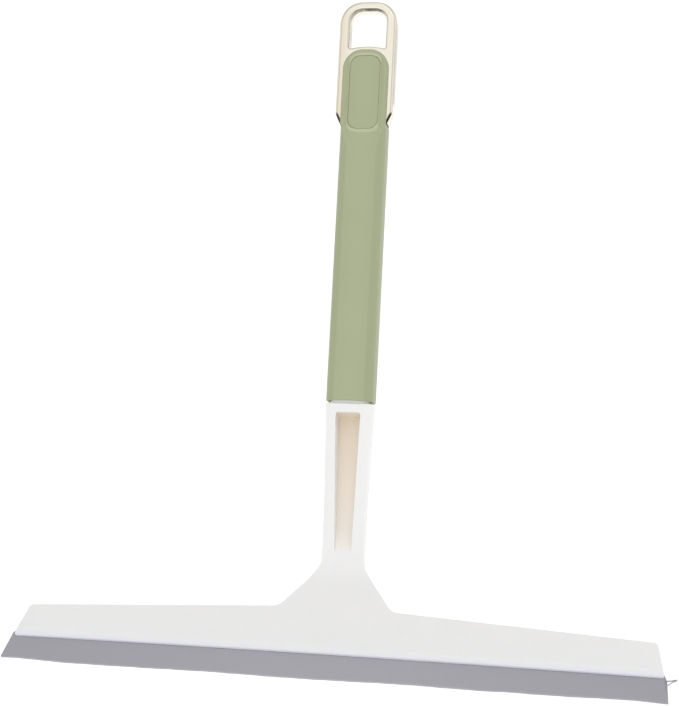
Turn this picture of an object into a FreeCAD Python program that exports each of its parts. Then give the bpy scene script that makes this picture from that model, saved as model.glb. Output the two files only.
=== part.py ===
import FreeCAD, Part
import math
import os
from FreeCAD import Vector

# Window squeegee: a white head with a bent neck and an inner stem, a slide-in rubber blade,
# a green sleeve over the stem and a plated hanging ring.  Millimetres.
# X runs along the blade, -Y is the front, +Z runs up the handle.
# The model is drawn from the bend line between head plate and neck, on the axis of the handle.
# It is moved on saving, so that the origin is the point of the ring that a hook carries.

# ---- driving dimensions ----
BEND_ANGLE = 42.0            # head plate against the handle
BEND_HEIGHT = 65.1           # blade datum to bend line, along the front of the plate

BLADE_HALF_LENGTH = 150.3    # at the wiping edge
BLADE_END_SLANT = 0.08       # the ends lean in by this much per mm of height
BLADE_TIP = 1.45             # height of the wiping edge above the datum
BLADE_THICKNESS = 1.8
BLADE_TIP_THICKNESS = 1.2
BLADE_DEPTH = 2.1            # front of the blade behind the front of the plate
BULB_RADIUS = 1.8
BULB_HEIGHT = 22.5
CORE_ROD_RADIUS = 0.7
CORE_ROD_INSET = 2.6         # its ends lie inside the bulb
BLADE_TAPER_RADIUS = 6.0
SLIDE_GAP = 0.1

LIP_HEIGHT = 14.25           # lower edge of the plate
LIP_BOW = 0.7                # the edge rises about this much in the middle
LIP_LEAN = 0.9               # the front of the plate rolls back by this much
LIP_LEAN_HEIGHT = 3.0        # over this height above the lower edge
LIP_HALF_LENGTH = 148.3
TOP_HALF_LENGTH = 145.8
END_TOP_HEIGHT = 32.2
SHOULDER_HALF_WIDTH = 26.6
SHOULDER_FOOT = 40.45
SHOULDER_TOP = 66.1
RAIL_THICKNESS = 6.6
RAIL_TOP = 27.0
RAIL_STEP = 3.0              # height over which the rail thins down to the web
WEB_THICKNESS = 4.2
BEND_FRONT_RADIUS = 16.0
BEND_BACK_RISE = 3.2         # back of the bend, above and behind the front of the bend
BEND_BACK_SWELL = 1.4
PLATE_EDGE_ROUND = 0.6
LIP_LEAN_RADIUS = 8.0
BEND_BACK_RADIUS = 6.0
RAIL_RADII = (3.0, 2.0)      # where the web meets the rail, and the rail's upper corner
PLATE_LOWER_CORNER = 1.0
PLATE_UPPER_CORNER = 2.3
SHOULDER_RADIUS = 6.0
PAST_BEND = 14.0             # the outline of the plate runs on up into the neck

NECK_FOOT = 9.0              # heights above the bend line from here on
NECK_TOP = 78.3
NECK_FOOT_HALF_WIDTH = 9.97
NECK_TOP_HALF_WIDTH = 11.6
NECK_FRONT_AT_BEND = -1.34
NECK_FRONT_LEAN = -0.0803
NECK_BACK_AT_BEND = 5.0
NECK_BACK_LEAN = 0.0275
NECK_FLARE = 0.7             # share of the widening that comes late
NECK_FOOT_CORNER = 1.0
NECK_TOP_CORNER = 4.0
NECK_LEDGE = 0.4             # bevel under the sleeve

POCKET_FOOT = 7.8
POCKET_TOP = 73.9
POCKET_FOOT_HALF_WIDTH = 4.0
POCKET_TOP_HALF_WIDTH = 6.0
POCKET_WALL = 3.4            # wall left behind the pocket
POCKET_RAMP = 12.0           # the floor climbs to the surface over this length
POCKET_TOP_DRAFT = 1.8
POCKET_FOOT_CORNER = 0.6
POCKET_TOP_CORNER = 1.2
POCKET_FLOOR_RADII = (1.0, 6.0)  # upper end of the floor, and where the ramp begins

SLEEVE_HALF_WIDTH = 11.55
SLEEVE_HALF_DEPTH = 9.0
SLEEVE_FOOT = 78.7
SLEEVE_MOUTH = 216.5
SLEEVE_WALL = 2.0
SLEEVE_CORNER = 5.0
SLEEVE_ARCH_HALF_SPAN = 18.5 # the lower edge arches up, on a span wider than the sleeve
SLEEVE_ARCH_PEAK = 1.65
SIDE_CROWN = 0.3
FRONT_CROWN = 1.0
SOFT_EDGE = 0.6
FINE_EDGE = 0.4

TONGUE_HALF_WIDTH = 11.4
TONGUE_FOOT_HALF_WIDTH = 8.0  # below the mouth it runs out into the front of the sleeve
TONGUE_FOOT = 204.0
TONGUE_BACK = -2.0           # below the mouth, where the bore cuts it away inside the sleeve
TONGUE_FOOT_RADII = (2.0, 8.0)
TONGUE_TOP = 253.8
TONGUE_CORNER = 9.5
PAD_HALF_WIDTH = 7.5
PAD_FOOT = 213.1
PAD_TOP = 250.4
PAD_CORNER = 4.8
PAD_FLOOR = -7.9
GROOVE = 0.12
RIM_WIDTH = 1.6
RIM_HEIGHT = 0.4

RING_HALF_WIDTH = 14.25
RING_TOP = 279.4
RING_CORNER = 11.2
RING_THICKNESS = 9.0
RING_FRONT = -6.8
RING_SHOULDER = 221.8
RING_SHOULDER_CORNER = 6.0
RING_SEAT_HALF_WIDTH = 11.9  # rests on the mouth of the sleeve
RING_SEAT = 216.8
RING_ROUND = 1.8
WINDOW_HALF_WIDTH = 9.15
WINDOW_FOOT = 255.0
WINDOW_TOP = 275.5
WINDOW_CORNER = 6.2
WINDOW_ARCH = 1.0            # the foot of the window rises about this much in the middle
WINDOW_ROUND = 1.2
WINDOW_FOOT_CORNER = 0.8
TAIL_HALF_WIDTH = 9.2
TAIL_FOOT = 196.0
TAIL_CORNER = 2.0            # also of the tab behind the tail
RING_GAP = 0.2               # ring to the tongue before it and the tab behind it

STEM_GAP = 0.3               # stem inside the sleeve
STEM_TOP = 195.5
STEM_CORNER = 3.2
STEM_WEB_HALF = 2.0
STEM_SIDE_WALL = 3.0
STEM_RIB = 2.0
STEM_BAYS = 5
TAB_HALF_WIDTH = 7.5
TAB_TOP = 213.0

SCREW_HEIGHT = 206.0
SCREW_RADIUS = 1.5
SCREW_HEAD_RADIUS = 3.2
SCREW_HEAD_THICKNESS = 2.0
SCREW_LENGTH = 10.0
SCREW_SEAT = 5.4
SCREW_CLEARANCE = 0.15       # round the shank in the tab, and round the head
SCREW_TIP = 0.8
PILOT_SPARE = 0.4            # the hole in the tail is deeper than the screw
DRIVE_LENGTH = 3.6           # cross drive in the head
DRIVE_WIDTH = 0.8
DRIVE_DEPTH = 1.2
PLUG_RADIUS = 3.5
PLUG_THICKNESS = 1.4
PLUG_GAP = 0.1

RING_BACK = RING_FRONT + RING_THICKNESS
FRONT_CHORD = SLEEVE_HALF_WIDTH - SIDE_CROWN
FRONT_CROWN_RADIUS = (FRONT_CHORD * FRONT_CHORD + FRONT_CROWN * FRONT_CROWN) / (2 * FRONT_CROWN)
HOOK_POINT = Vector(0, RING_FRONT + RING_THICKNESS / 2, WINDOW_TOP)
BEYOND = 200.0               # more than half of any size here, for cutting shapes
REACH = 25.0                 # enough to pass right through the handle from front to back
OVERRUN = 5.0                # a shape that cuts or limits another runs past it by this
SAME_PLACE = 0.01            # coordinates this close count as equal when edges are picked
SIDE_ON = 0.01               # a face whose normal leans less than this is square to the plate
FACES_FRONT = 0.1            # a face whose normal leans more than this belongs to the front
ARC_SHARE = 0.85             # share of a shallow peak's sides that its rounding arc uses


# ---- shape helpers ----
def rounded_wire(corners, radii):
    """Closed flat wire through the corners, each rounded to its own radius."""
    edges = []
    stops = []
    count = len(corners)
    for index in range(count):
        corner = corners[index]
        before = (corners[index - 1] - corner).normalize()
        after = (corners[(index + 1) % count] - corner).normalize()
        radius = radii[index]
        half = before.getAngle(after) / 2
        reach = radius / math.tan(half)
        start = corner + before * reach
        end = corner + after * reach
        middle = corner
        if radius > 0:
            inward = (before + after).normalize()
            middle = corner + inward * (radius / math.sin(half) - radius)
        stops.append((start, middle, end, radius))
    for index in range(count):
        start, middle, end, radius = stops[index]
        if radius > 0:
            edges.append(Part.Arc(start, middle, end).toShape())
        following = stops[(index + 1) % count][0]
        edges.append(Part.makeLine(end, following))
    return Part.Wire(edges)


def bow_radius(half_length, peak):
    """Radius that turns a shallow peak into one long arc, nearly half as high."""
    return ARC_SHARE * half_length * half_length / peak


def prism(wire, direction):
    """Solid swept straight from a flat wire."""
    return Part.Face(wire).extrude(direction)


def mirrored(points):
    """A right half outline, from foot to top, closed by its mirror image in X."""
    return points + [Vector(-p.x, p.y, p.z) for p in reversed(points)]


def upright_outline(half, radii, y_from, y_to):
    """Prism along Y with a symmetric outline, given as (x, z) from foot to top."""
    corners = mirrored([Vector(x, y_from, z) for x, z in half])
    wire = rounded_wire(corners, radii + radii[::-1])
    return prism(wire, Vector(0, y_to - y_from, 0))


def stadium(half_width, foot, top, corner, y_from, y_to):
    """Rounded upright slab along Y."""
    half = [(half_width, foot), (half_width, top)]
    return upright_outline(half, [corner, corner], y_from, y_to)


def plate_placement():
    """Local x, height up the plate and depth in front of it, into the model frame."""
    tilt = math.radians(BEND_ANGLE)
    up_the_plate = Vector(0, math.sin(tilt), math.cos(tilt))
    turn = FreeCAD.Rotation(Vector(1, 0, 0), 90 - BEND_ANGLE)
    return FreeCAD.Placement(up_the_plate * -BEND_HEIGHT, turn)


def on_plate(shape):
    """A shape drawn in plate coordinates, moved into place."""
    placed = shape.copy()
    placed.Placement = plate_placement().multiply(shape.Placement)
    return placed


def plate_side_point(height, depth):
    """Model point of the side profile, from height up the plate and depth in front."""
    return plate_placement().multVec(Vector(0, height, depth))


def rounded_rectangle(half_width, front, back, corner, z):
    """Level wire with four equal corners."""
    corners = [
        Vector(half_width, front, z),
        Vector(half_width, back, z),
        Vector(-half_width, back, z),
        Vector(-half_width, front, z),
    ]
    return rounded_wire(corners, [corner] * 4)


def neck_front(z):
    return NECK_FRONT_AT_BEND + NECK_FRONT_LEAN * z


def neck_back(z):
    return NECK_BACK_AT_BEND + NECK_BACK_LEAN * z


def cylinder_along_y(radius, y_from, y_to, z):
    return Part.makeCylinder(radius, y_to - y_from, Vector(0, y_from, z), Vector(0, 1, 0))


def save(name, shape):
    """Moves the origin to the hook point and writes the node's file."""
    moved = shape.copy()
    moved.translate(HOOK_POINT * -1)
    moved.exportStep("parts/" + name + ".step")
    print(name, "valid", moved.isValid(), "solids", len(moved.Solids), "mm3", round(moved.Volume))


# ---- white head, neck and stem ----
def head_side_slab():
    """The bent side profile, wide enough for the whole blade."""
    tilt = math.radians(BEND_ANGLE)
    drop = NECK_FRONT_AT_BEND / (NECK_FRONT_LEAN * math.cos(tilt) - math.sin(tilt))
    corners = [
        plate_side_point(LIP_HEIGHT - LIP_BOW, -LIP_LEAN),
        plate_side_point(LIP_HEIGHT + LIP_LEAN_HEIGHT, 0),
        plate_side_point(BEND_HEIGHT - drop, 0),
        Vector(0, neck_front(NECK_FOOT), NECK_FOOT),
        Vector(0, neck_back(NECK_FOOT), NECK_FOOT),
        plate_side_point(BEND_HEIGHT + BEND_BACK_RISE, -WEB_THICKNESS - BEND_BACK_SWELL),
        plate_side_point(SHOULDER_FOOT, -WEB_THICKNESS),
        plate_side_point(RAIL_TOP + RAIL_STEP, -WEB_THICKNESS),
        plate_side_point(RAIL_TOP, -RAIL_THICKNESS),
        plate_side_point(LIP_HEIGHT - LIP_BOW, -RAIL_THICKNESS),
    ]
    radii = [0, LIP_LEAN_RADIUS, BEND_FRONT_RADIUS, 0, 0, BEND_BACK_RADIUS, 0, *RAIL_RADII, 0]
    profile = rounded_wire([Vector(-BEYOND, c.y, c.z) for c in corners], radii)
    return prism(profile, Vector(2 * BEYOND, 0, 0))


def plate_outline():
    """Front outline of the plate and its shoulders, square to the plate."""
    half = [
        Vector(LIP_HALF_LENGTH, LIP_HEIGHT, 0),
        Vector(TOP_HALF_LENGTH, END_TOP_HEIGHT, 0),
        Vector(SHOULDER_HALF_WIDTH, SHOULDER_FOOT, 0),
        Vector(NECK_FOOT_HALF_WIDTH, SHOULDER_TOP, 0),
        Vector(NECK_FOOT_HALF_WIDTH, BEND_HEIGHT + PAST_BEND, 0),
    ]
    peak = 2 * LIP_BOW
    corners = mirrored(half) + [Vector(0, LIP_HEIGHT + peak, 0)]
    corners = [Vector(c.x, c.y, -BEYOND / 4) for c in corners]
    radii = [PLATE_LOWER_CORNER, PLATE_UPPER_CORNER, SHOULDER_RADIUS, SHOULDER_RADIUS, 0]
    radii = radii + radii[::-1] + [bow_radius(LIP_HALF_LENGTH, peak)]
    return on_plate(prism(rounded_wire(corners, radii), Vector(0, 0, BEYOND / 2)))


def front_outline_edges(solid):
    """Edges where the front meets the outline, below the neck."""
    through = plate_placement().Rotation.multVec(Vector(0, 0, 1))
    chosen = []
    for edge in solid.Edges:
        middle = edge.valueAt((edge.FirstParameter + edge.LastParameter) / 2)
        facing = []
        for face in solid.ancestorsOfType(edge, Part.Face):
            u, v = face.Surface.parameter(middle)
            facing.append(face.normalAt(u, v).dot(through))
        on_outline = abs(min(facing)) < SIDE_ON
        on_front = max(facing) > FACES_FRONT
        if on_outline and on_front and edge.BoundBox.ZMin < NECK_FOOT - SAME_PLACE:
            chosen.append(edge)
    return chosen


def head_plate():
    """Bent plate with shoulders, before the blade channel is cut."""
    plate = head_side_slab().common(plate_outline())
    return plate.makeFillet(PLATE_EDGE_ROUND, front_outline_edges(plate))


def blade_channel():
    """Open-ended slot and round groove for the bulb of the blade."""
    middle = -(BLADE_DEPTH + BLADE_THICKNESS / 2)
    half = BLADE_THICKNESS / 2 + SLIDE_GAP
    slot = Part.makeBox(2 * BEYOND, BULB_HEIGHT, 2 * half, Vector(-BEYOND, 0, middle - half))
    groove_radius = BULB_RADIUS + SLIDE_GAP
    start = Vector(-BEYOND, BULB_HEIGHT, middle)
    groove = Part.makeCylinder(groove_radius, 2 * BEYOND, start, Vector(1, 0, 0))
    return on_plate(slot.fuse(groove))


def neck():
    """Neck, flat and thin at the bend, deep where it meets the sleeve."""
    sections = []
    for share in (0.0, 0.5, 1.0):
        z = NECK_FOOT + share * (NECK_TOP - NECK_FOOT)
        growth = (1 - NECK_FLARE) * share + NECK_FLARE * share * share
        half_width = NECK_FOOT_HALF_WIDTH + growth * (NECK_TOP_HALF_WIDTH - NECK_FOOT_HALF_WIDTH)
        corner = NECK_FOOT_CORNER + share * (NECK_TOP_CORNER - NECK_FOOT_CORNER)
        sections.append(rounded_rectangle(half_width, neck_front(z), neck_back(z), corner, z))
    solid = Part.makeLoft(sections, True, False)
    rim = [e for e in solid.Edges if e.BoundBox.ZMin > NECK_TOP - SAME_PLACE]
    return solid.makeChamfer(NECK_LEDGE, rim)


def neck_pocket():
    """Tapered recess in the front of the neck, whose floor climbs to the surface at its foot."""
    half = [(POCKET_FOOT_HALF_WIDTH, POCKET_FOOT), (POCKET_TOP_HALF_WIDTH, POCKET_TOP)]
    radii = [POCKET_FOOT_CORNER, POCKET_TOP_CORNER]
    opening = upright_outline(half, radii, -BEYOND / 4, BEYOND / 4)
    floor_top = POCKET_TOP - POCKET_TOP_DRAFT
    ramp_top = POCKET_FOOT + POCKET_RAMP
    corners = [
        Vector(-BEYOND, -BEYOND / 4, POCKET_TOP + OVERRUN),
        Vector(-BEYOND, neck_front(POCKET_TOP), POCKET_TOP),
        Vector(-BEYOND, neck_back(floor_top) - POCKET_WALL, floor_top),
        Vector(-BEYOND, neck_back(ramp_top) - POCKET_WALL, ramp_top),
        Vector(-BEYOND, neck_front(POCKET_FOOT), POCKET_FOOT),
        Vector(-BEYOND, -BEYOND / 4, POCKET_FOOT),
    ]
    depth = prism(rounded_wire(corners, [0, 0, *POCKET_FLOOR_RADII, 0, 0]), Vector(2 * BEYOND, 0, 0))
    return opening.common(depth)


def stem():
    """Ribbed stem inside the sleeve, with a tab behind the tail of the ring."""
    half_width = SLEEVE_HALF_WIDTH - SLEEVE_WALL - STEM_GAP
    half_depth = SLEEVE_HALF_DEPTH - SLEEVE_WALL - STEM_GAP
    foot = rounded_rectangle(half_width, -half_depth, half_depth, STEM_CORNER, NECK_TOP)
    body = prism(foot, Vector(0, 0, STEM_TOP - NECK_TOP))
    bay_height = (STEM_TOP - SLEEVE_FOOT - STEM_RIB) / STEM_BAYS
    bay_half_width = half_width - STEM_SIDE_WALL
    bay_depth = half_depth - STEM_WEB_HALF
    for bay in range(STEM_BAYS):
        z = SLEEVE_FOOT + STEM_RIB + bay * bay_height
        size = (2 * bay_half_width, bay_depth + OVERRUN, bay_height - STEM_RIB)
        front_bay = Part.makeBox(*size, Vector(-bay_half_width, -half_depth - OVERRUN, z))
        back_bay = Part.makeBox(*size, Vector(-bay_half_width, STEM_WEB_HALF, z))
        body = body.cut(front_bay).cut(back_bay)
    tab_front = RING_BACK + RING_GAP
    tab_foot = STEM_TOP - STEM_CORNER
    tab = stadium(TAB_HALF_WIDTH, tab_foot, TAB_TOP, TAIL_CORNER, tab_front, half_depth)
    hole_radius = SCREW_RADIUS + SCREW_CLEARANCE
    seat_radius = SCREW_HEAD_RADIUS + SCREW_CLEARANCE
    hole = cylinder_along_y(hole_radius, tab_front - OVERRUN, half_depth, SCREW_HEIGHT)
    seat = cylinder_along_y(seat_radius, SCREW_SEAT, half_depth + OVERRUN, SCREW_HEIGHT)
    return body.fuse(tab).cut(hole).cut(seat)


def head_frame():
    plate = head_plate()
    upper = neck().cut(neck_pocket())
    body = plate.cut(neck_pocket()).fuse(upper)
    return body.fuse(stem()).cut(blade_channel()).removeSplitter()


# ---- rubber blade ----
def blade():
    """Soft strip with a tapered wiping edge and a round bulb, over a stiff core."""
    front = -BLADE_DEPTH
    back = front - BLADE_THICKNESS
    corners = [
        Vector(-BEYOND, BLADE_TIP, front),
        Vector(-BEYOND, BULB_HEIGHT, front),
        Vector(-BEYOND, BULB_HEIGHT, back),
        Vector(-BEYOND, LIP_HEIGHT, back),
        Vector(-BEYOND, BLADE_TIP, front - BLADE_TIP_THICKNESS),
    ]
    outline = rounded_wire(corners, [0, 0, 0, BLADE_TAPER_RADIUS, 0])
    strip = prism(outline, Vector(2 * BEYOND, 0, 0))
    axis_start = Vector(-BEYOND, BULB_HEIGHT, (front + back) / 2)
    along = Vector(1, 0, 0)
    bulb = Part.makeCylinder(BULB_RADIUS, 2 * BEYOND, axis_start, along)
    core_hole = Part.makeCylinder(CORE_ROD_RADIUS, 2 * BEYOND, axis_start, along)
    section = strip.fuse(bulb).cut(core_hole).removeSplitter()
    top = BULB_HEIGHT + BULB_RADIUS + OVERRUN
    lean = BLADE_END_SLANT * (top - BLADE_TIP)
    foot_corner = Vector(BLADE_HALF_LENGTH, BLADE_TIP, -REACH)
    top_corner = Vector(BLADE_HALF_LENGTH - lean, top, -REACH)
    ends = rounded_wire(mirrored([foot_corner, top_corner]), [0, 0, 0, 0])
    return on_plate(section.common(prism(ends, Vector(0, 0, BEYOND / 4))))


def blade_core_rod():
    """Stiff rod in the bulb, which keeps the soft strip straight and in its groove."""
    lean = BLADE_END_SLANT * (BULB_HEIGHT - BLADE_TIP)
    half_length = BLADE_HALF_LENGTH - lean - CORE_ROD_INSET
    start = Vector(-half_length, BULB_HEIGHT, -(BLADE_DEPTH + BLADE_THICKNESS / 2))
    return on_plate(Part.makeCylinder(CORE_ROD_RADIUS, 2 * half_length, start, Vector(1, 0, 0)))


# ---- green sleeve and thumb pad ----
def crowned_column(z_from, z_to, proud):
    """Outer form of the sleeve: crowned front, flat back, rounded long edges."""
    side = SLEEVE_HALF_WIDTH - SIDE_CROWN
    edge = SLEEVE_HALF_DEPTH - FRONT_CROWN
    back = SLEEVE_HALF_DEPTH
    left_front = Vector(-side, -edge, z_from)
    right_front = Vector(side, -edge, z_from)
    right_back = Vector(side, back, z_from)
    left_back = Vector(-side, back, z_from)
    front_arc = Part.Arc(left_front, Vector(0, -SLEEVE_HALF_DEPTH, z_from), right_front).toShape()
    right_arc = Part.Arc(right_front, Vector(SLEEVE_HALF_WIDTH, 0, z_from), right_back).toShape()
    back_line = Part.makeLine(right_back, left_back)
    left_arc = Part.Arc(left_back, Vector(-SLEEVE_HALF_WIDTH, 0, z_from), left_front).toShape()
    outline = Part.Wire([front_arc, right_arc, back_line, left_arc])
    column = prism(outline, Vector(0, 0, z_to - z_from))
    upright = [e for e in column.Edges if e.BoundBox.ZLength > 1]
    column = column.makeFillet(SLEEVE_CORNER, upright)
    column.translate(Vector(0, -proud, 0))
    return column


def above_sleeve_foot():
    """Everything above the gently arched lower edge of the sleeve."""
    half = [(SLEEVE_ARCH_HALF_SPAN, SLEEVE_FOOT), (SLEEVE_ARCH_HALF_SPAN, TONGUE_TOP + OVERRUN)]
    corners = mirrored([Vector(x, -BEYOND, z) for x, z in half])
    corners.append(Vector(0, -BEYOND, SLEEVE_FOOT + SLEEVE_ARCH_PEAK))
    radii = [0, 0, 0, 0, bow_radius(SLEEVE_ARCH_HALF_SPAN, SLEEVE_ARCH_PEAK)]
    return prism(rounded_wire(corners, radii), Vector(0, 2 * BEYOND, 0))


def tongue():
    """Plate in front of the ring, in one with the sleeve, whose corners it runs out over."""
    half = [
        (TONGUE_FOOT_HALF_WIDTH, TONGUE_FOOT),
        (TONGUE_HALF_WIDTH, SLEEVE_MOUTH),
        (TONGUE_HALF_WIDTH, TONGUE_TOP),
    ]
    slab = upright_outline(half, [*TONGUE_FOOT_RADII, TONGUE_CORNER], -REACH, TONGUE_BACK)
    crown_axis = Vector(0, FRONT_CROWN_RADIUS - SLEEVE_HALF_DEPTH, SLEEVE_FOOT)
    slab = slab.common(Part.makeCylinder(FRONT_CROWN_RADIUS, BEYOND, crown_axis))
    face_edges = [e for e in slab.Edges if e.BoundBox.YMax < RING_FRONT]
    slab = slab.makeFillet(SOFT_EDGE, face_edges)
    behind = Part.makeBox(
        BEYOND, BEYOND, BEYOND, Vector(-BEYOND / 2, RING_FRONT - RING_GAP, SLEEVE_MOUTH)
    )
    return slab.cut(behind)


def pad_outline(growth, y_back):
    """Oval of the thumb pad, grown on all sides, from in front of the sleeve to y_back."""
    return stadium(
        PAD_HALF_WIDTH + growth, PAD_FOOT - growth, PAD_TOP + growth, PAD_CORNER + growth,
        -REACH, y_back,
    )


def pad_rim():
    """Raised rim round the groove of the thumb pad."""
    rim = pad_outline(GROOVE + RIM_WIDTH, PAD_FLOOR)
    rim = rim.common(crowned_column(PAD_FOOT - OVERRUN, PAD_TOP + OVERRUN, RIM_HEIGHT))
    face_edges = [e for e in rim.Edges if e.BoundBox.YMax < PAD_FLOOR - RIM_HEIGHT]
    return rim.makeFillet(FINE_EDGE, face_edges)


def grip_sleeve():
    body = crowned_column(SLEEVE_FOOT - OVERRUN, SLEEVE_MOUTH, 0).common(above_sleeve_foot())
    foot_edges = [e for e in body.Edges if e.BoundBox.ZMax < SLEEVE_FOOT + OVERRUN]
    body = body.makeFillet(SOFT_EDGE, foot_edges)
    half_width = SLEEVE_HALF_WIDTH - SLEEVE_WALL
    half_depth = SLEEVE_HALF_DEPTH - SLEEVE_WALL
    corner = SLEEVE_CORNER - SLEEVE_WALL
    foot = SLEEVE_FOOT - OVERRUN
    bore_foot = rounded_rectangle(half_width, -half_depth, half_depth, corner, foot)
    bore = prism(bore_foot, Vector(0, 0, BEYOND))
    shell = body.fuse(tongue()).cut(bore)
    screw_hole = cylinder_along_y(PLUG_RADIUS + PLUG_GAP, 0, REACH, SCREW_HEIGHT)
    recess = pad_outline(GROOVE, PAD_FLOOR)
    return shell.fuse(pad_rim()).cut(recess).cut(screw_hole)


def thumb_pad():
    """Oval inlay in the recess of the tongue, crowned like the sleeve."""
    pad = pad_outline(0, PAD_FLOOR)
    pad = pad.common(crowned_column(PAD_FOOT - OVERRUN, PAD_TOP + OVERRUN, RIM_HEIGHT / 2))
    face_edges = [e for e in pad.Edges if e.BoundBox.YMax < PAD_FLOOR - RIM_HEIGHT / 2]
    return pad.makeFillet(FINE_EDGE, face_edges)


# ---- plated ring ----
def is_level(edge):
    """Whether the whole edge lies at one depth."""
    return edge.BoundBox.YLength < SAME_PLACE


def ring_window():
    """Opening that the hook goes through, with a slightly arched foot."""
    y_front = RING_FRONT - OVERRUN
    corners = mirrored([
        Vector(WINDOW_HALF_WIDTH, y_front, WINDOW_FOOT),
        Vector(WINDOW_HALF_WIDTH, y_front, WINDOW_TOP),
    ])
    peak = 2 * WINDOW_ARCH
    corners.append(Vector(0, y_front, WINDOW_FOOT + peak))
    arch_radius = bow_radius(WINDOW_HALF_WIDTH, peak)
    side_radii = [WINDOW_FOOT_CORNER, WINDOW_CORNER]
    radii = side_radii + side_radii[::-1] + [arch_radius]
    return prism(rounded_wire(corners, radii), Vector(0, RING_THICKNESS + 2 * OVERRUN, 0))


def tail_trim():
    """What the tail of the ring loses to fit the rounded bore of the sleeve."""
    half_width = SLEEVE_HALF_WIDTH - SLEEVE_WALL - STEM_GAP
    half_depth = SLEEVE_HALF_DEPTH - SLEEVE_WALL - RING_GAP
    foot = TAIL_FOOT - OVERRUN
    height = RING_SEAT - foot
    kept = prism(
        rounded_rectangle(half_width, -half_depth, half_depth, STEM_CORNER, foot),
        Vector(0, 0, height),
    )
    return Part.makeBox(BEYOND, BEYOND, height, Vector(-BEYOND / 2, -BEYOND / 2, foot)).cut(kept)


def hanging_ring():
    half = [
        (TAIL_HALF_WIDTH, TAIL_FOOT),
        (TAIL_HALF_WIDTH, RING_SEAT),
        (RING_SEAT_HALF_WIDTH, RING_SEAT),
        (RING_HALF_WIDTH, RING_SHOULDER),
        (RING_HALF_WIDTH, RING_TOP),
    ]
    radii = [TAIL_CORNER, 0, 0, RING_SHOULDER_CORNER, RING_CORNER]
    plate = upright_outline(half, radii, RING_FRONT, RING_BACK)
    rims = [e for e in plate.Edges if is_level(e) and e.BoundBox.ZMax > RING_SEAT + RING_GAP]
    plate = plate.makeFillet(RING_ROUND, rims)
    plate = plate.cut(ring_window())
    window_box = ring_window().BoundBox
    rims = [e for e in plate.Edges if is_level(e) and window_box.isInside(e.BoundBox)]
    plate = plate.makeFillet(WINDOW_ROUND, rims).cut(tail_trim())
    pilot_end = SCREW_SEAT - SCREW_LENGTH - PILOT_SPARE
    pilot = cylinder_along_y(SCREW_RADIUS, pilot_end, RING_BACK + OVERRUN, SCREW_HEIGHT)
    return plate.cut(pilot)


# ---- screw and plug behind the handle ----
def ring_screw():
    head = cylinder_along_y(
        SCREW_HEAD_RADIUS, SCREW_SEAT, SCREW_SEAT + SCREW_HEAD_THICKNESS, SCREW_HEIGHT
    )
    face = [e for e in head.Edges if e.BoundBox.YMin > SCREW_SEAT + 1]
    head = head.makeFillet(SOFT_EDGE, face)
    shank = cylinder_along_y(SCREW_RADIUS, SCREW_SEAT - SCREW_LENGTH, SCREW_SEAT, SCREW_HEIGHT)
    tip = [e for e in shank.Edges if e.BoundBox.YMax < SCREW_SEAT - 1 and e.BoundBox.XLength > 1]
    shank = shank.makeChamfer(SCREW_TIP, tip)
    floor = SCREW_SEAT + SCREW_HEAD_THICKNESS - DRIVE_DEPTH
    level = Part.makeBox(
        DRIVE_LENGTH, DRIVE_DEPTH, DRIVE_WIDTH,
        Vector(-DRIVE_LENGTH / 2, floor, SCREW_HEIGHT - DRIVE_WIDTH / 2),
    )
    upright = Part.makeBox(
        DRIVE_WIDTH, DRIVE_DEPTH, DRIVE_LENGTH,
        Vector(-DRIVE_WIDTH / 2, floor, SCREW_HEIGHT - DRIVE_LENGTH / 2),
    )
    return head.fuse(shank).cut(level).cut(upright)


def screw_plug():
    back = SLEEVE_HALF_DEPTH
    plug = cylinder_along_y(PLUG_RADIUS, back - PLUG_THICKNESS, back, SCREW_HEIGHT)
    face = [e for e in plug.Edges if e.BoundBox.YMin > back - SAME_PLACE]
    return plug.makeFillet(FINE_EDGE, face)


os.makedirs("parts", exist_ok=True)
save("head_frame", head_frame())
save("blade", blade())
save("blade_core_rod", blade_core_rod())
save("grip_sleeve", grip_sleeve())
save("thumb_pad", thumb_pad())
save("hanging_ring", hanging_ring())
save("ring_screw", ring_screw())
save("screw_plug", screw_plug())
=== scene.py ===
import math

import bpy
from mathutils import Euler, Matrix, Vector
from mathutils.geometry import tessellate_polygon


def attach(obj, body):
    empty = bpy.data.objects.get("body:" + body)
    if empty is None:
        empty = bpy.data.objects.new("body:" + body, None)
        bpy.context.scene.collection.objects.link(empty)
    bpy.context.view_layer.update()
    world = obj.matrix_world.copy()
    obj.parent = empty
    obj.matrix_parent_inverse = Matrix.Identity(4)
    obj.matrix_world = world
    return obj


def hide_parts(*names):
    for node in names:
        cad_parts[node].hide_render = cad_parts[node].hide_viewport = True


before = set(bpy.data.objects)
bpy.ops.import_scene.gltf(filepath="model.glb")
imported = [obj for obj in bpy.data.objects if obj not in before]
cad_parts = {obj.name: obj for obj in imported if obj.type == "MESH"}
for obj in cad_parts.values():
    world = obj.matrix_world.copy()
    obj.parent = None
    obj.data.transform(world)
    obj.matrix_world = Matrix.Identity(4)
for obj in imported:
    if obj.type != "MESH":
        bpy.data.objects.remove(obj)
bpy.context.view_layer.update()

MM = 0.001
HOOK = Vector((0.0, -2.3, 275.5))     # the row frame's origin, from the bend line, in mm
BEND_ANGLE = math.radians(42.0)
BEND_HEIGHT = 65.1                    # from the plate's lower edge to the bend line
UP_PLATE = Vector((0.0, math.sin(BEND_ANGLE), math.cos(BEND_ANGLE)))
OUT_OF_PLATE = Vector((0.0, -math.cos(BEND_ANGLE), math.sin(BEND_ANGLE)))


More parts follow.
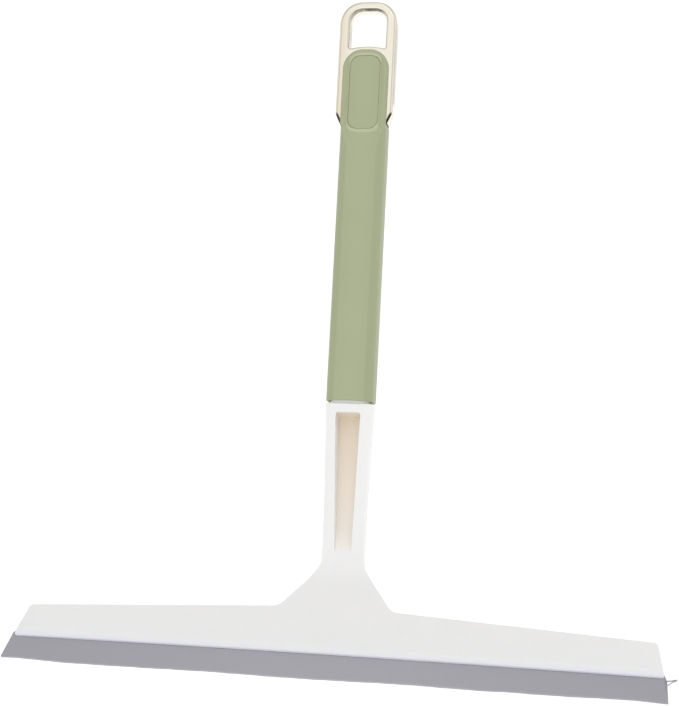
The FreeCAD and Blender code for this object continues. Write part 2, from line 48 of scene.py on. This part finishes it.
def plate_point(x, height, depth):
    """Row frame point from x along the blade, height up the plate and depth in front of it, in mm."""
    point = Vector((x, 0, 0)) + UP_PLATE * (height - BEND_HEIGHT) + OUT_OF_PLATE * depth
    return (point - HOOK) * MM


def srgb(red, green, blue):
    """Linear colour from display values up to 255."""
    linear = []
    for value in (red, green, blue):
        share = value / 255
        linear.append(share / 12.92 if share <= 0.04045 else ((share + 0.055) / 1.055) ** 2.4)
    return (*linear, 1.0)


# ---- node helpers ----
MIX_COLOUR_INPUTS = (0, 6, 7)         # the Mix node's sockets for factor and two colours
MIX_COLOUR_OUTPUT = 2
BUMP_DEPTH = 0.0002
BEVEL_SAMPLES = 4
ALONG_X = Vector((1, 0, 0))
ALONG_Y = Vector((0, 1, 0))
ALONG_Z = Vector((0, 0, 1))


class Shader:
    """A material with a Principled shader and short calls for the nodes it needs."""

    def __init__(self, name):
        self.material = bpy.data.materials.new(name)
        self.material.use_nodes = True
        self.tree = self.material.node_tree
        self.surface = self.tree.nodes["Principled BSDF"]
        self.coordinates = self.tree.nodes.new("ShaderNodeTexCoord")

    def link(self, source, target):
        self.tree.links.new(source, target)

    def set(self, **values):
        for name, value in values.items():
            self.surface.inputs[name.replace("_", " ")].default_value = value

    def noise(self, scale, detail, stretch=None):
        """Noise of so many grains a metre; stretch scales its coordinates along X, Y and Z."""
        node = self.tree.nodes.new("ShaderNodeTexNoise")
        node.inputs["Scale"].default_value = scale
        node.inputs["Detail"].default_value = detail
        place = self.coordinates.outputs["Object"]
        if stretch is not None:
            mapping = self.tree.nodes.new("ShaderNodeMapping")
            mapping.inputs["Scale"].default_value = stretch
            self.link(place, mapping.inputs["Vector"])
            place = mapping.outputs["Vector"]
        self.link(place, node.inputs["Vector"])
        return node.outputs["Fac"]

    def ramp(self, factor, stops):
        node = self.tree.nodes.new("ShaderNodeValToRGB")
        elements = node.color_ramp.elements
        while len(elements) < len(stops):
            elements.new(0.5)
        for element, (place, colour) in zip(elements, stops):
            element.position = place
            element.color = colour
        self.link(factor, node.inputs["Fac"])
        return node.outputs["Color"]

    def span(self, value, low, high, to_low=0.0, to_high=1.0):
        """value from low..high to to_low..to_high, held at the ends."""
        node = self.tree.nodes.new("ShaderNodeMapRange")
        node.inputs["From Min"].default_value = low
        node.inputs["From Max"].default_value = high
        node.inputs["To Min"].default_value = to_low
        node.inputs["To Max"].default_value = to_high
        self.link(value, node.inputs["Value"])
        return node.outputs["Result"]

    def maths(self, operation, first, second):
        node = self.tree.nodes.new("ShaderNodeMath")
        node.operation = operation
        for socket, value in zip(node.inputs, (first, second)):
            if isinstance(value, (int, float)):
                socket.default_value = value
            else:
                self.link(value, socket)
        return node.outputs["Value"]

    def along(self, direction, offset=0.0):
        """Place along a direction of the row frame, in mm, less the offset."""
        node = self.tree.nodes.new("ShaderNodeVectorMath")
        node.operation = "DOT_PRODUCT"
        node.inputs[1].default_value = direction
        self.link(self.coordinates.outputs["Object"], node.inputs[0])
        return self.maths("SUBTRACT", self.maths("MULTIPLY", node.outputs["Value"], 1 / MM), offset)

    def normal(self, axis):
        """The surface normal's part along X, Y or Z of the row frame."""
        node = self.tree.nodes.new("ShaderNodeSeparateXYZ")
        self.link(self.coordinates.outputs["Normal"], node.inputs["Vector"])
        return node.outputs[axis]

    def size(self, value):
        return self.maths("ABSOLUTE", value, 0.0)

    def opposite(self, mask):
        return self.maths("SUBTRACT", 1.0, mask)

    def both(self, *masks):
        """Where all the masks are 1."""
        result = masks[0]
        for mask in masks[1:]:
            result = self.maths("MULTIPLY", result, mask)
        return result

    def mix(self, factor, first, second):
        """Colour between the first, at factor 0, and the second, at factor 1."""
        node = self.tree.nodes.new("ShaderNodeMix")
        node.data_type = "RGBA"
        for index, value in zip(MIX_COLOUR_INPUTS, (factor, first, second)):
            if isinstance(value, (int, float, tuple)):
                node.inputs[index].default_value = value
            else:
                self.link(value, node.inputs[index])
        return node.outputs[MIX_COLOUR_OUTPUT]

    def bump(self, height, strength, bevel=0.0):
        """Fine surface relief, with edges that catch the light where a bevel radius is given."""
        node = self.tree.nodes.new("ShaderNodeBump")
        node.inputs["Strength"].default_value = strength
        node.inputs["Distance"].default_value = BUMP_DEPTH
        self.link(height, node.inputs["Height"])
        if bevel > 0:
            edge = self.tree.nodes.new("ShaderNodeBevel")
            edge.samples = BEVEL_SAMPLES
            edge.inputs["Radius"].default_value = bevel
            self.link(edge.outputs["Normal"], node.inputs["Normal"])
        self.link(node.outputs["Normal"], self.surface.inputs["Normal"])

    def colour(self, value):
        self.link(value, self.surface.inputs["Base Color"])

    def roughness(self, value):
        self.link(value, self.surface.inputs["Roughness"])


def assign(obj, material):
    """Put the material on every slot of the piece."""
    if not obj.data.materials:
        obj.data.materials.append(material)
    for index in range(len(obj.data.materials)):
        obj.data.materials[index] = material


# ---- materials ----
# Ranges given to span are mm in the row frame, parts of the unit normal, or noise from 0 to 1.
NECK_FRONT_NORMAL = Vector((0, 1, 0.0803))    # into the neck, from its leaning front
NECK_FRONT_OFFSET = -21.16
NECK_BACK_NORMAL = Vector((0, -1, 0.0275))    # into the neck, from its leaning back
NECK_BACK_OFFSET = -14.88
POCKET_FOOT = 6.0                             # above the bend line
POCKET_TOP = 74.0


def pocket_shade_mask(shader):
    """Where the recess's painted shade goes: 1 inside the recess in the neck, near 0 on its side walls, 0
    elsewhere.
    """
    behind_front = shader.along(NECK_FRONT_NORMAL, NECK_FRONT_OFFSET)
    before_back = shader.along(NECK_BACK_NORMAL, NECK_BACK_OFFSET)
    sideways = shader.size(shader.along(ALONG_X))
    height = shader.along(ALONG_Z, -HOOK.z)
    below_top = shader.span(height, POCKET_TOP, POCKET_TOP + 0.6, 1.0, 0.0)
    within = shader.both(shader.span(sideways, 6.4, 7.2, 1.0, 0.0), below_top)
    facing = shader.span(shader.size(shader.normal("X")), 0.2, 0.8, 1.0, 0.1)
    between = shader.both(shader.span(behind_front, 0.2, 0.9), shader.span(before_back, 2.4, 3.0))
    return shader.both(within, between, facing)


def pocket_painted_shade(shader):
    """Painted warm shade in the recess, palest at its foot."""
    up = shader.span(shader.along(ALONG_Z, -HOOK.z), POCKET_FOOT, POCKET_TOP)
    cloud = shader.noise(90.0, 4.0)
    stops = [(0.0, srgb(244, 241, 235)), (0.45, srgb(248, 238, 225)), (1.0, srgb(246, 234, 214))]
    return shader.mix(shader.maths("MULTIPLY", cloud, 0.1), shader.ramp(up, stops), srgb(236, 210, 180))


def white_plastic():
    """Satin moulding, with a painted bluish reflection along the plate's lower edge and painted warm shade
    in the recess.
    """
    shader = Shader("white_plastic")
    mottle = shader.noise(60.0, 4.0)
    base = shader.mix(mottle, srgb(238, 238, 237), srgb(243, 243, 242))
    height = shader.along(UP_PLATE, -BEND_HEIGHT - HOOK.dot(UP_PLATE))
    # painted bluish reflection along the plate's lower edge, below the bend
    painted_lip_reflection = shader.span(height, 14.6, 17.6, 1.0, 0.0)
    below_bend = shader.span(shader.along(ALONG_Z, -HOOK.z), 0.0, 2.0, 1.0, 0.0)
    base = shader.mix(shader.both(painted_lip_reflection, below_bend), base, srgb(232, 232, 240))
    # painted warm shade in the recess of the neck
    base = shader.mix(pocket_shade_mask(shader), base, pocket_painted_shade(shader))
    shader.colour(base)
    shader.roughness(shader.span(shader.noise(900.0, 2.0), 0.3, 0.7, 0.32, 0.42))
    shader.set(Subsurface_Weight=0.06, Subsurface_Scale=0.004, IOR=1.49)
    shader.bump(shader.noise(2500.0, 2.0), 0.05, bevel=0.0003)
    return shader.material


FRONT_CROWN_DIAMETER = 128.0                  # of the sleeve's slightly curved front


def sage_plastic(name, lift=0.0):
    """Soft green moulding, with painted shade on its sides, a painted highlight on the raised border round
    the pad, painted light in the narrow channel round it, and painted warm light on its upper and left
    edges; lift adds to its roughness.
    """
    shader = Shader(name)
    mottle = shader.noise(45.0, 5.0)
    base = shader.mix(mottle, srgb(166, 173, 138), srgb(171, 178, 143))
    # painted shade on the sides that turn away from the front
    painted_dark_flank = shader.span(shader.size(shader.normal("X")), 0.04, 0.3, 0.0, 0.45)
    base = shader.mix(painted_dark_flank, base, srgb(150, 157, 123))
    sideways = shader.along(ALONG_X)
    beside_pad = shader.span(shader.along(ALONG_Z), -66.0, -65.0)
    narrow = shader.span(shader.size(sideways), 8.0, 8.4, 1.0, 0.0)
    upright = shader.span(shader.size(shader.normal("Y")), 0.3, 0.7, 1.0, 0.0)
    painted_groove_light = shader.both(upright, narrow, beside_pad)
    # painted light in the narrow channel round the pad, against the shade it gets
    base = shader.mix(painted_groove_light, base, srgb(236, 244, 210))
    crown = shader.maths("DIVIDE", shader.maths("MULTIPLY", sideways, sideways), FRONT_CROWN_DIAMETER)
    proud = shader.maths("SUBTRACT", shader.along(ALONG_Y), crown)
    # painted highlight on the raised border round the pad
    painted_rim_highlight = shader.both(shader.span(proud, -7.06, -6.98, 0.6, 0.0), beside_pad)
    base = shader.mix(painted_rim_highlight, base, srgb(190, 196, 163))
    # painted warm light on the upward-facing and left-facing edges near the pad
    painted_warm_upper_edge = shader.both(shader.span(shader.normal("Z"), 0.2, 0.7, 0.0, 0.6), beside_pad)
    base = shader.mix(painted_warm_upper_edge, base, srgb(190, 178, 156))
    painted_warm_left_edge = shader.both(shader.span(shader.normal("X"), -0.6, -0.2, 0.35, 0.0), beside_pad)
    base = shader.mix(painted_warm_left_edge, base, srgb(182, 168, 145))
    shader.colour(base)
    shader.roughness(shader.span(shader.noise(700.0, 2.0), 0.3, 0.7, 0.42 + lift, 0.52 + lift))
    shader.set(IOR=1.46)
    shader.bump(shader.noise(3200.0, 2.0), 0.06, bevel=0.0002)
    return shader.material


def grey_rubber():
    """Matt rubber, a little darker towards its ends."""
    shader = Shader("grey_rubber")
    mottle = shader.noise(30.0, 5.0, (0.3, 1.0, 1.0))
    from_middle = shader.size(shader.along(ALONG_X))
    base = shader.mix(mottle, srgb(166, 165, 172), srgb(172, 171, 178))
    base = shader.mix(shader.span(from_middle, 20.0, 150.0, 0.0, 0.7), base, srgb(160, 159, 166))
    shader.colour(base)
    shader.roughness(shader.span(shader.noise(600.0, 3.0), 0.3, 0.7, 0.5, 0.62))
    shader.set(IOR=1.45)
    shader.bump(shader.noise(1800.0, 3.0), 0.08)
    return shader.material


def gold_plating():
    """Polished plating; darker tones, by place and direction, stand for what its sides would mirror."""
    shader = Shader("gold_plating")
    sideways = shader.along(ALONG_X)
    depth = shader.along(ALONG_Y)
    height = shader.along(ALONG_Z)
    outward = shader.normal("X")
    upward = shader.normal("Z")
    turned = shader.size(outward)
    level = shader.size(shader.normal("Y"))

    haze = shader.noise(80.0, 4.0)
    base = shader.mix(haze, srgb(238, 232, 216), srgb(243, 237, 222))
    # painted darker reflection on the left of the ring
    painted_left_reflection = shader.span(sideways, -12.5, -8.5, 1.0, 0.0)
    base = shader.mix(painted_left_reflection, base, srgb(232, 224, 205))
    # painted dark reflection lines along the roundings between the ring's front and sides
    rounding = shader.span(level, 0.3, 0.5)
    line_outside = shader.span(turned, 0.2, 0.35, 0.0, 0.6)
    line_inside = shader.span(turned, 0.5, 0.65, 1.0, 0.0)
    base = shader.mix(shader.both(rounding, line_outside, line_inside), base, srgb(184, 174, 154))

    # painted dark reflections on the ring's sides and on its foot near the sleeve; the foot's right side
    # is kept free of them
    foot = shader.span(height, -50.0, -48.0, 1.0, 0.0)
    bright_side = shader.both(shader.span(outward, 0.2, 0.4), shader.span(level, 0.35, 0.5, 1.0, 0.0))
    not_bright = shader.opposite(shader.both(bright_side, foot))
    roof = shader.span(height, -8.0, -5.0)
    deep = shader.span(depth, -1.4, 0.0)
    painted_dark_flank = shader.both(shader.span(level, 0.3, 0.8, 1.0, 0.0), shader.span(upward, -0.9, 0.5, 0.95, 0.22))
    painted_dark_flank = shader.both(painted_dark_flank, shader.opposite(shader.both(roof, deep)))
    fade_back = shader.span(depth, -2.0, 3.5, 1.0, 0.0)
    painted_dark_underside = shader.both(foot, fade_back, shader.span(upward, -0.22, -0.05, 1.0, 0.0), not_bright)
    streak = shader.span(shader.noise(260.0, 2.0, (1.0, 0.4, 0.4)), 0.35, 0.6, 0.65, 1.0)
    painted_dark_reflection = shader.maths("MAXIMUM", shader.both(painted_dark_flank, streak), painted_dark_underside)
    shader.colour(shader.mix(shader.both(painted_dark_reflection, not_bright), base, srgb(50, 43, 33)))
    shader.roughness(shader.span(shader.noise(500.0, 3.0), 0.3, 0.7, 0.09, 0.14))
    shader.set(Metallic=1.0)
    shader.bump(shader.noise(900.0, 2.0), 0.02)
    return shader.material


def screw_steel():
    shader = Shader("screw_steel")
    grain = shader.noise(1500.0, 3.0, (1.0, 0.1, 1.0))
    shader.colour(shader.mix(grain, srgb(170, 172, 176), srgb(200, 202, 206)))
    shader.roughness(shader.span(grain, 0.3, 0.7, 0.25, 0.4))
    shader.set(Metallic=1.0)
    return shader.material


def core_plastic():
    shader = Shader("core_plastic")
    streak = shader.noise(400.0, 3.0, (0.05, 1.0, 1.0))
    shader.colour(shader.mix(streak, srgb(205, 204, 198), srgb(222, 221, 216)))
    shader.roughness(shader.span(streak, 0.3, 0.7, 0.3, 0.45))
    return shader.material


# ---- wiping blade, with its uneven cut: mm up the plate, in front of it and along the blade ----
BLADE_FRONT = -2.1
BLADE_BACK = -3.9
FRONT_TOP = 16.0
BACK_TOP = 14.65
TIP_BACK = -3.3              # the back tapers to this at the wiping edge
TIP_HEIGHT = 1.87
TIP_CORNER = 0.1
FRONT_CORNER = 0.12          # height of the cut corner at the front of the tip
TAPER_POWER = 1.3
BULB_HEIGHT = 22.5
BULB_RADIUS = 1.8
CORE_RADIUS = 0.72
FRONT_STEPS = 8
BULB_STEPS = 18
BACK_STEPS = 5
CORE_STEPS = 16
STATIONS = 300               # along the blade
LEFT_END = -150.95
LEFT_SLANT = 0.10
LEFT_FACE_SKEW = 0.25
LEFT_RECESS = 2.2            # the part in the channel ends this much further in
RIGHT_END = 148.95
RIGHT_SLANT = -0.055
RIGHT_FACE_SKEW = 1.2        # the right end is cut askew, so that its face shows
RIGHT_RECESS = 1.8
RECESS_FOOT = 19.0
RIPPLES = ((0.05, 0.33, 0.0), (0.035, 0.79, 1.0))        # size, rate along the blade, phase
SWELLS = ((0.04, 0.11, 0.6), (0.03, 0.041, 0.0))
EDGE_BUMPS = (               # place along the blade, spread, rise
    (-142, 12, 0.68), (-110, 24, -0.25), (-52, 24, 0.30), (36, 24, 0.60), (86, 12, 0.42), (104, 8, 0.20),
    (119, 12, 0.40), (134, 11, 0.60),
)


def waves(x, terms):
    return sum(size * math.sin(x * rate + phase) for size, rate, phase in terms)


def edge_rise(x):
    """How far the wiping edge is worn back at x, in mm."""
    bumps = sum(rise * math.exp(-(((x - place) / spread) ** 2)) for place, spread, rise in EDGE_BUMPS)
    return waves(x, RIPPLES) + bumps


def blade_ends(height, depth):
    """x of both ends of the blade at a height and depth, in mm."""
    into = (BLADE_FRONT - depth) / (BLADE_FRONT - BLADE_BACK)
    above_tip = height - TIP_HEIGHT
    left = LEFT_END + LEFT_SLANT * above_tip + LEFT_FACE_SKEW * into
    right = RIGHT_END + RIGHT_SLANT * above_tip + RIGHT_FACE_SKEW * into
    in_channel = min(max(height - RECESS_FOOT, 0.0), 1.0)
    return left + LEFT_RECESS * in_channel, right - RIGHT_RECESS * in_channel


def around(radius, angle, height, depth):
    """Height and depth of a point on a circle round a height and depth."""
    return height + radius * math.cos(angle), depth + radius * math.sin(angle)


def blade_section():
    """Outer outline of the section as (height, depth, share of the edge's wear), and the core hole."""
    middle = (BLADE_FRONT + BLADE_BACK) / 2
    front_foot = TIP_HEIGHT + FRONT_CORNER
    outer = []
    for step in range(FRONT_STEPS + 1):
        share = step / FRONT_STEPS
        outer.append((front_foot + (FRONT_TOP - TIP_HEIGHT) * share, BLADE_FRONT, 1 - share))
    half_neck = math.asin((BLADE_FRONT - middle) / BULB_RADIUS)
    for step in range(BULB_STEPS + 1):
        angle = -math.pi + half_neck + (2 * math.pi - 2 * half_neck) * step / BULB_STEPS
        outer.append((*around(BULB_RADIUS, -angle, BULB_HEIGHT, middle), 0.0))
    for step in range(BACK_STEPS + 1):
        share = step / BACK_STEPS
        depth = BLADE_BACK + (TIP_BACK - BLADE_BACK) * share ** TAPER_POWER
        outer.append((BACK_TOP + (TIP_HEIGHT + TIP_CORNER - BACK_TOP) * share, depth, share))
    outer += [(TIP_HEIGHT, TIP_BACK + TIP_CORNER, 1.0), (TIP_HEIGHT, BLADE_FRONT - TIP_CORNER, 1.0)]
    hole = []
    for step in range(CORE_STEPS):
        angle = 2 * math.pi * step / CORE_STEPS
        hole.append((*around(CORE_RADIUS, angle, BULB_HEIGHT, middle), 0.0))
    return outer, hole


def blade_shape():
    """Vertices and faces of the rubber between its two cut ends."""
    outer, hole = blade_section()
    rings = outer + hole
    vertices = []
    for station in range(STATIONS + 1):
        share = station / STATIONS
        for height, depth, wear in rings:
            left, right = blade_ends(height, depth)
            x = left + (right - left) * share
            worn = height + edge_rise(x) * wear
            vertices.append(plate_point(x, worn, depth + waves(x, SWELLS) * wear))
    faces = []
    for station in range(STATIONS):
        base = station * len(rings)
        for first, count, flip in ((0, len(outer), False), (len(outer), len(hole), True)):
            for index in range(count):
                here = base + first + index
                beside = base + first + (index + 1) % count
                quad = (here, beside, beside + len(rings), here + len(rings))
                faces.append(quad[::-1] if flip else quad)
    flat = [[Vector((height, depth, 0)) for height, depth, wear in loop] for loop in (outer, hole)]
    cap = tessellate_polygon(flat)
    last = STATIONS * len(rings)
    for triangle in cap:
        faces.append(tuple(triangle))
        faces.append(tuple(last + index for index in reversed(triangle)))
    return vertices, faces


THREAD_SIDES = 6


def thread(points):
    """Thin tapering thread of rubber through (x, height, depth, radius) points, in mm."""
    vertices = []
    for x, height, depth, radius in points:
        for side in range(THREAD_SIDES):
            angle = 2 * math.pi * side / THREAD_SIDES
            vertices.append(plate_point(x, *around(radius, angle, height, depth)))
    faces = []
    for index in range(len(points) - 1):
        for side in range(THREAD_SIDES):
            here = index * THREAD_SIDES + side
            beside = index * THREAD_SIDES + (side + 1) % THREAD_SIDES
            faces.append((here, beside, beside + THREAD_SIDES, here + THREAD_SIDES))
    last = (len(points) - 1) * THREAD_SIDES
    faces.append(tuple(range(THREAD_SIDES))[::-1])
    faces.append(tuple(last + side for side in range(THREAD_SIDES)))
    return vertices, faces


CUT_THREADS = (              # the fork that the cut left at the right end: x, height, depth, radius
    ((148.6, 13.3, -2.5, 0.45), (150.0, 13.4, -2.4, 0.33), (151.3, 13.5, -2.2, 0.30),
     (152.5, 13.7, -2.0, 0.38), (153.3, 13.7, -1.9, 0.42), (153.7, 13.6, -1.9, 0.18)),
    ((148.5, 10.8, -2.6, 0.50), (149.6, 11.2, -2.5, 0.36), (150.8, 12.2, -2.3, 0.30),
     (151.9, 12.9, -2.1, 0.28), (152.9, 13.4, -2.0, 0.32), (153.5, 13.4, -1.9, 0.18)),
)


def blade_mesh():
    """Rubber strip with its loose threads."""
    vertices, faces = blade_shape()
    for points in CUT_THREADS:
        more_vertices, more_faces = thread(points)
        faces += [tuple(index + len(vertices) for index in face) for face in more_faces]
        vertices += more_vertices
    mesh = bpy.data.meshes.new("blade_rubber")
    mesh.from_pydata(vertices, [], faces)
    return mesh


def add_object(name, data):
    obj = bpy.data.objects.new(name, data)
    bpy.context.scene.collection.objects.link(obj)
    return obj


def shade_smooth(mesh):
    for polygon in mesh.polygons:
        polygon.use_smooth = True


rubber = grey_rubber()
for node, material in (
    ("head_frame", white_plastic()),
    ("blade", rubber),
    ("blade_core_rod", core_plastic()),
    ("grip_sleeve", sage_plastic("sage_plastic")),
    ("thumb_pad", sage_plastic("sage_pad", 0.08)),
    ("hanging_ring", gold_plating()),
    ("ring_screw", screw_steel()),
    ("screw_plug", sage_plastic("sage_plug")),
):
    assign(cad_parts[node], material)

blade = add_object("blade_rubber", blade_mesh())
blade.data.validate()
shade_smooth(blade.data)
blade.data.set_sharp_from_angle(angle=math.radians(35))
assign(blade, rubber)
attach(blade, "blade_strip")
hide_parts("blade")

# ---- stage, in metres ----
FLOOR_Z = -0.75
FLOOR_FRONT = -4.0
WALL_Y = 2.6
WALL_TOP = 3.5
SWEEP_RADIUS = 0.8
SWEEP_STEPS = 12
SWEEP_HALF_WIDTH = 5.0
WHITE = (1.0, 1.0, 1.0, 1.0)


def backdrop_material():
    """Matt pale paper with a little light of its own, more of it low down."""
    shader = Shader("backdrop")
    shader.colour(shader.mix(shader.noise(3.0, 2.0), (0.9, 0.9, 0.9, 1.0), (0.92, 0.92, 0.92, 1.0)))
    shader.set(Roughness=0.9, Emission_Color=WHITE)
    glow = shader.span(shader.along(ALONG_Z), -700.0, 200.0, 0.27, 0.16)
    shader.link(glow, shader.surface.inputs["Emission Strength"])
    return shader.material


def add_backdrop():
    """Pale floor that curves up into a pale back wall."""
    profile = [(FLOOR_FRONT, FLOOR_Z)]
    for step in range(SWEEP_STEPS + 1):
        angle = math.pi / 2 * step / SWEEP_STEPS
        y = WALL_Y - SWEEP_RADIUS + SWEEP_RADIUS * math.sin(angle)
        profile.append((y, FLOOR_Z + SWEEP_RADIUS - SWEEP_RADIUS * math.cos(angle)))
    profile.append((WALL_Y, WALL_TOP))
    vertices = []
    for x in (-SWEEP_HALF_WIDTH, SWEEP_HALF_WIDTH):
        vertices += [(x, y, z) for y, z in profile]
    count = len(profile)
    faces = [(i, i + 1, count + i + 1, count + i) for i in range(count - 1)]
    mesh = bpy.data.meshes.new("backdrop")
    mesh.from_pydata(vertices, [], faces)
    shade_smooth(mesh)
    obj = add_object("backdrop", mesh)
    assign(obj, backdrop_material())


def add_studio_world():
    """Soft white surroundings, dimmer overhead."""
    world = bpy.data.worlds.new("studio")
    bpy.context.scene.world = world
    world.use_nodes = True
    tree = world.node_tree
    place = tree.nodes.new("ShaderNodeTexCoord")
    upwards = tree.nodes.new("ShaderNodeSeparateXYZ")
    tree.links.new(place.outputs["Generated"], upwards.inputs["Vector"])
    strength = tree.nodes.new("ShaderNodeMapRange")
    strength.interpolation_type = "SMOOTHSTEP"
    for name, value in (("From Min", 0.35), ("From Max", 0.9), ("To Min", 1.01), ("To Max", 0.68)):
        strength.inputs[name].default_value = value
    tree.links.new(upwards.outputs["Z"], strength.inputs["Value"])
    background = tree.nodes["Background"]
    tree.links.new(strength.outputs["Result"], background.inputs["Strength"])
    background.inputs["Color"].default_value = WHITE


def add_key_light():
    """Large soft light from the upper right front, aimed at the neck."""
    light = bpy.data.lights.new("key", "AREA")
    light.shape = "RECTANGLE"
    light.size = 1.6
    light.size_y = 1.2
    light.energy = 1.8
    obj = add_object("key", light)
    obj.location = (0.5, -0.75, 1.15)
    aim = Vector((0, 0, -0.2)) - Vector(obj.location)
    obj.rotation_euler = aim.to_track_quat("-Z", "Y").to_euler()


CAMERA_PLACE = (0.1098, -0.6613, -0.2675)
CAMERA_TURN = (97.481, -3.014, 9.765)        # tilt, roll and pan, in degrees
SENSOR_WIDTH = 36.0
FOCAL_LENGTH = 71.39
LENS_SHIFT = (0.00755, 0.01983)


def add_camera():
    """Camera to the right of the object and a little below its middle, slightly rolled."""
    data = bpy.data.cameras.new("camera")
    data.sensor_width = SENSOR_WIDTH
    data.lens = FOCAL_LENGTH
    data.shift_x, data.shift_y = LENS_SHIFT
    data.clip_start = 0.01
    camera = add_object("camera", data)
    turn = Euler([math.radians(angle) for angle in CAMERA_TURN]).to_matrix().to_4x4()
    camera.matrix_world = Matrix.Translation(CAMERA_PLACE) @ turn
    bpy.context.scene.camera = camera


add_backdrop()
add_studio_world()
add_key_light()
add_camera()
bpy.context.scene.view_settings.view_transform = "Standard"
bpy.context.scene.view_settings.look = "None"
